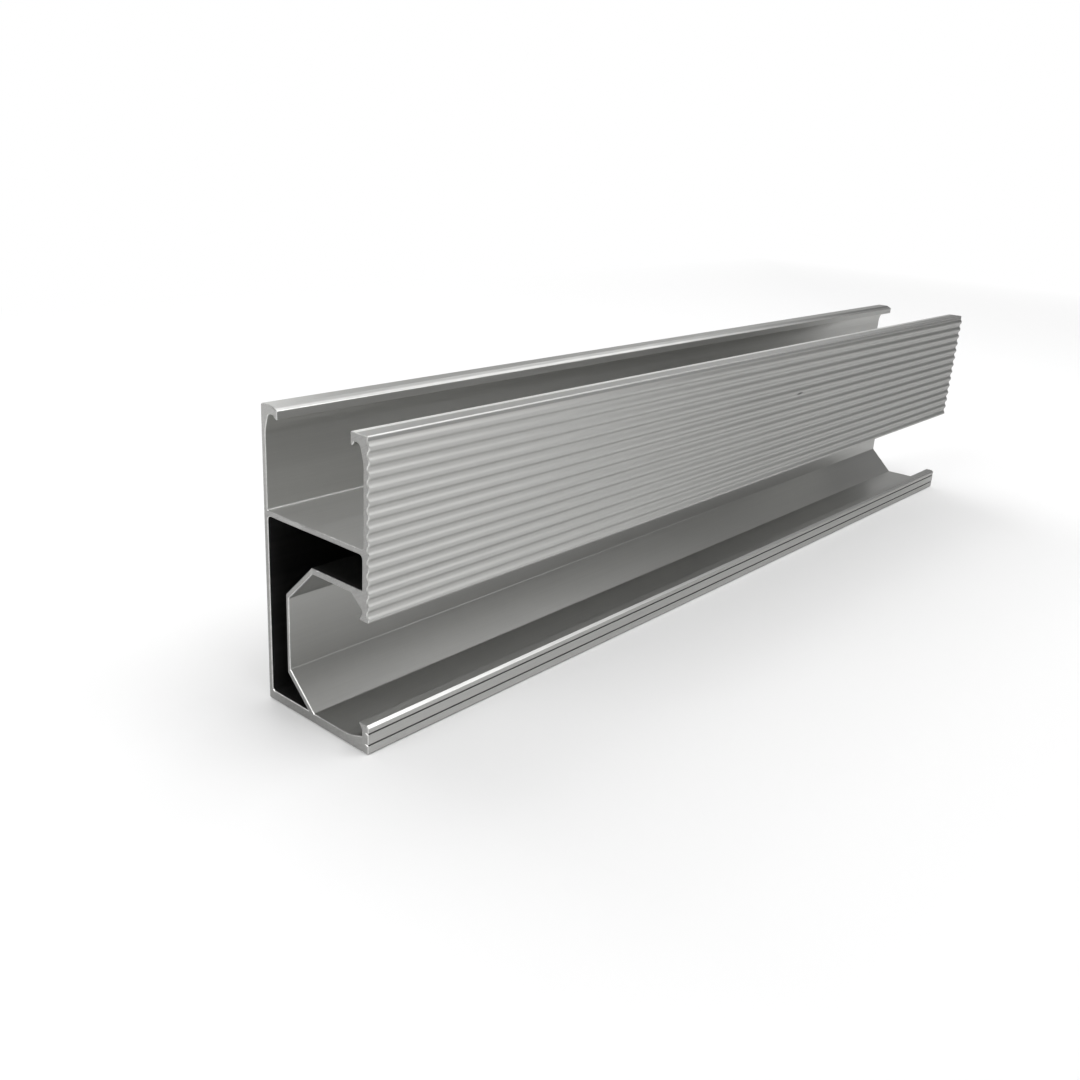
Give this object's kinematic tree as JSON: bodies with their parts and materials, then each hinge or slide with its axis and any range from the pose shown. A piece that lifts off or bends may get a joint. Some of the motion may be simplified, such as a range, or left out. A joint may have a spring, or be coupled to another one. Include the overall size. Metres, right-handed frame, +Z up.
{
  "type": "solar mounting rail",
  "caption": "Straight extruded aluminium rail with a fluted front wall, an open-topped clamp channel, a faceted side channel and a closed hollow, for carrying solar panels.",
  "frame": {"origin": "middle of the underside, halfway along the rail and halfway across its box", "axes": "+X along the rail, -Y is the fluted face with the side channel, +Y is the plain back wall, +Z up through the open clamp channel"},
  "size_m": [0.26, 0.03, 0.06],
  "materials": {
    "extruded_aluminium": "satin anodised extrusion with fine die lines along its length and sawn ends"
  },
  "bodies": {
    "root": {"rail": "extruded_aluminium"}
  },
  "joints": []
}
